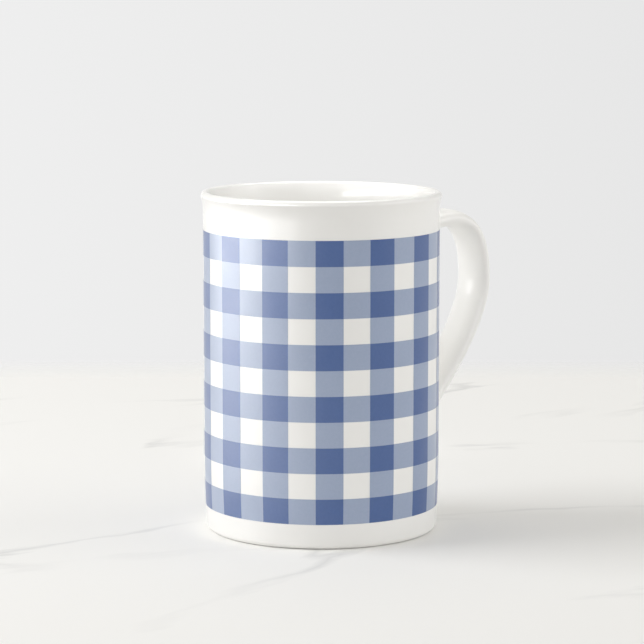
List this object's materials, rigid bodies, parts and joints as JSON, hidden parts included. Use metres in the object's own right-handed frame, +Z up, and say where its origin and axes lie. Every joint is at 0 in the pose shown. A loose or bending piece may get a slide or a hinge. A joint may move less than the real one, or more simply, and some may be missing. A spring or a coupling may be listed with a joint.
{
  "type": "mug",
  "caption": "Tall straight-sided white china mug with a rounded, slightly flared lip, an oval strap handle and a blue gingham print round its wall.",
  "frame": {"origin": "centre of the flat foot ring, on the plane the mug stands on", "axes": "+Z up along the cup's axis, +X towards the handle, +Y round the cup to the left of the handle as seen from outside it"},
  "size_m": [0.1013, 0.0754, 0.1065],
  "materials": {
    "china": "gloss",
    "slip": "gloss",
    "pale_blue_ink": "gloss",
    "deep_blue_ink": "gloss"
  },
  "bodies": {
    "root": {"cup_body": "china", "handle": "china", "upper_handle_joint": "slip", "lower_handle_joint": "slip", "row_stripes": "pale_blue_ink", "column_stripes": "pale_blue_ink", "crossing_squares": "deep_blue_ink"}
  },
  "joints": []
}
